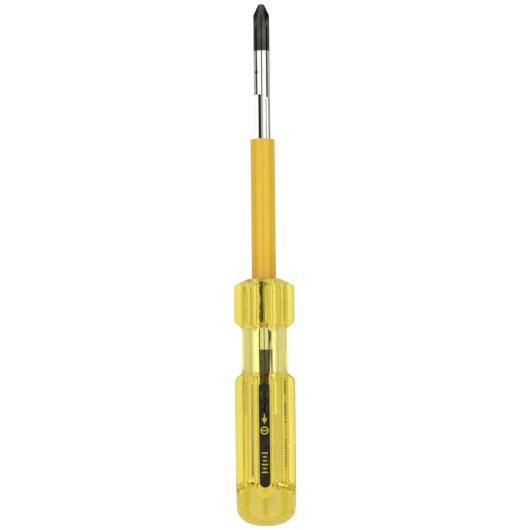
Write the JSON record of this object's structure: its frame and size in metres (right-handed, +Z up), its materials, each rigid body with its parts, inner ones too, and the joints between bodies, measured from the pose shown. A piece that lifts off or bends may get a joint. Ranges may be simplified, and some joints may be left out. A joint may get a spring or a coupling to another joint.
{
  "type": "screwdriver",
  "caption": "Screwdriver with a fluted clear yellow handle and a reversible rod blade, cross point one end and slotted the other, held in a plastic sleeve.",
  "frame": {"origin": "on the floor under the middle of the tool's bounding box, with the tool lying on its handle", "axes": "+X along the tool's axis towards the cross point, +Z up through the front label, +Y to the left seen from the butt"},
  "size_m": [0.1914, 0.0222, 0.0221],
  "materials": {
    "handle_acetate": "clear yellow cellulose acetate, tumbled smooth",
    "label_foil": "hot-stamped black foil",
    "side_print": "thin dark print",
    "blade_steel": "bright plated steel with blackened tips",
    "sleeve_vinyl": "yellow vinyl tube, soft gloss"
  },
  "bodies": {
    "handle": {"handle": "handle_acetate", "front_label": "label_foil", "side_marks": "side_print"},
    "blade": {"blade": "blade_steel", "sleeve": "sleeve_vinyl"}
  },
  "joints": [
    {"name": "blade_slide", "type": "slide", "parent": "handle", "child": "blade", "axis": [1, 0, 0], "range_m": [0, 0.055]}
  ]
}
